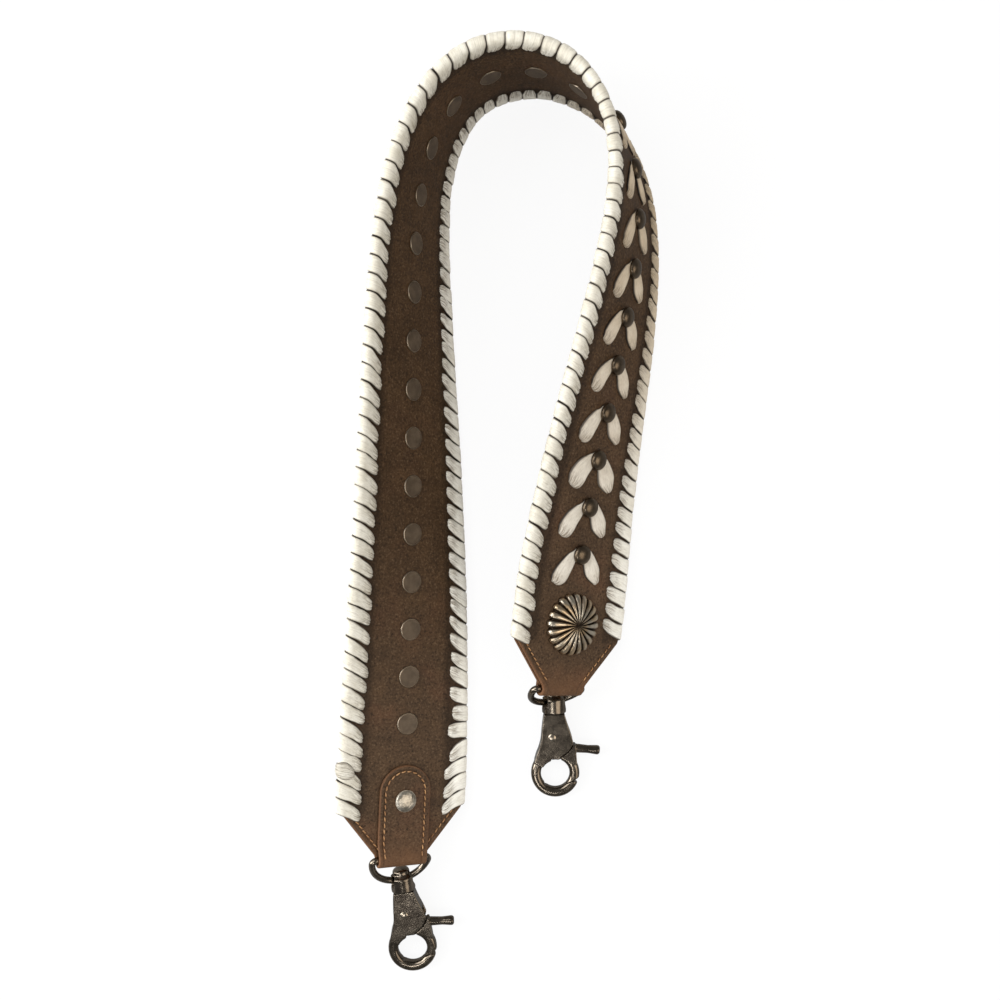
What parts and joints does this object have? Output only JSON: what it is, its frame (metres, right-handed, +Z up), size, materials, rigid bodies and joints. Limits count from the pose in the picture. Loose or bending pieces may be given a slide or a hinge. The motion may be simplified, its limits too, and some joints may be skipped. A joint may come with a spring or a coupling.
{
  "type": "detachable bag strap",
  "caption": "Wide leather bag strap lying in an arch, with laced edges, riveted lace chevrons, folded tab ends with conchos, D-rings and swivel trigger snaps.",
  "frame": {"origin": "centre of the bounding box in plan, on the table the strap lies on", "axes": "+Y from the two snaps up towards the arch, the longest extent; +X to the right as the strap is pictured from above; +Z up off the table"},
  "size_m": [0.1244, 0.3518, 0.052],
  "materials": {
    "oiled_brown_leather": "oiled pull-up leather, matte to satin",
    "white_lace": "soft matte",
    "gunmetal": "polished gunmetal plate",
    "old_silver": "antiqued silver plate"
  },
  "bodies": {
    "strap": {"front_leather": "oiled_brown_leather", "back_liner": "oiled_brown_leather", "outer_edge_lacing": "white_lace", "inner_edge_lacing": "white_lace", "chevron_lace": "white_lace", "rivet_01": "gunmetal", "rivet_02": "gunmetal", "rivet_03": "gunmetal", "rivet_04": "gunmetal", "rivet_05": "gunmetal", "rivet_06": "gunmetal", "rivet_07": "gunmetal", "rivet_08": "gunmetal", "rivet_09": "gunmetal", "rivet_10": "gunmetal", "rivet_11": "gunmetal", "rivet_12": "gunmetal", "rivet_13": "gunmetal", "rivet_14": "gunmetal", "rivet_15": "gunmetal", "rivet_16": "gunmetal", "rivet_17": "gunmetal", "rivet_18": "gunmetal", "rivet_19": "gunmetal", "rivet_20": "gunmetal", "rivet_21": "gunmetal", "rivet_22": "gunmetal", "rivet_23": "gunmetal", "rivet_24": "gunmetal", "rivet_25": "gunmetal", "rivet_26": "gunmetal", "rivet_27": "gunmetal", "left_concho": "old_silver", "right_concho": "old_silver", "left_concho_screw": "old_silver", "right_concho_screw": "old_silver"},
    "left_ring": {"left_d_ring": "gunmetal"},
    "left_swivel": {"left_swivel_eye": "gunmetal"},
    "left_snap": {"left_snap_body": "gunmetal", "left_pivot_pin": "gunmetal", "left_gate_spring": "old_silver"},
    "left_trigger": {"left_gate": "gunmetal"},
    "right_ring": {"right_d_ring": "gunmetal"},
    "right_swivel": {"right_swivel_eye": "gunmetal"},
    "right_snap": {"right_snap_body": "gunmetal", "right_pivot_pin": "gunmetal", "right_gate_spring": "old_silver"},
    "right_trigger": {"right_gate": "gunmetal"}
  },
  "joints": [
    {"name": "left_ring_hinge", "type": "hinge", "parent": "strap", "child": "left_ring", "pos_m": [-0.03843, -0.1286, 0.01326], "axis": [0.9054, -0.0395, -0.4226], "range_deg": [-60, 60]},
    {"name": "left_eye_hinge", "type": "hinge", "parent": "left_ring", "child": "left_swivel", "pos_m": [-0.03861, -0.13837, 0.00719], "axis": [0.9372, 0.171, -0.304], "range_deg": [-35, 35]},
    {"name": "left_swivel_turn", "type": "hinge", "parent": "left_swivel", "child": "left_snap", "pos_m": [-0.03861, -0.13837, 0.00719], "axis": [0.1365, -0.9819, -0.1315], "continuous": true},
    {"name": "left_gate_hinge", "type": "hinge", "parent": "left_snap", "child": "left_trigger", "pos_m": [-0.03774, -0.15191, 0.00539], "axis": [0.0181, -0.1303, 0.9913], "range_deg": [-20, 0], "stiffness_Nm_per_rad": 0.02, "springref_deg": 11.46},
    {"name": "right_ring_hinge", "type": "hinge", "parent": "strap", "child": "right_ring", "pos_m": [0.02241, -0.06308, 0.01429], "axis": [0.8237, -0.0939, -0.5592], "range_deg": [-60, 60]},
    {"name": "right_eye_hinge", "type": "hinge", "parent": "right_ring", "child": "right_swivel", "pos_m": [0.02061, -0.06965, 0.00502], "axis": [0.9519, 0.1297, -0.2777], "range_deg": [-35, 35]},
    {"name": "right_swivel_turn", "type": "hinge", "parent": "right_swivel", "child": "right_snap", "pos_m": [0.02061, -0.06965, 0.00502], "axis": [0.0217, -0.997, -0.0742], "continuous": true},
    {"name": "right_gate_hinge", "type": "hinge", "parent": "right_snap", "child": "right_trigger", "pos_m": [0.0199, -0.08329, 0.00401], "axis": [0.0016, -0.0741, 0.9972], "range_deg": [-20, 0], "stiffness_Nm_per_rad": 0.02, "springref_deg": 11.46}
  ]
}
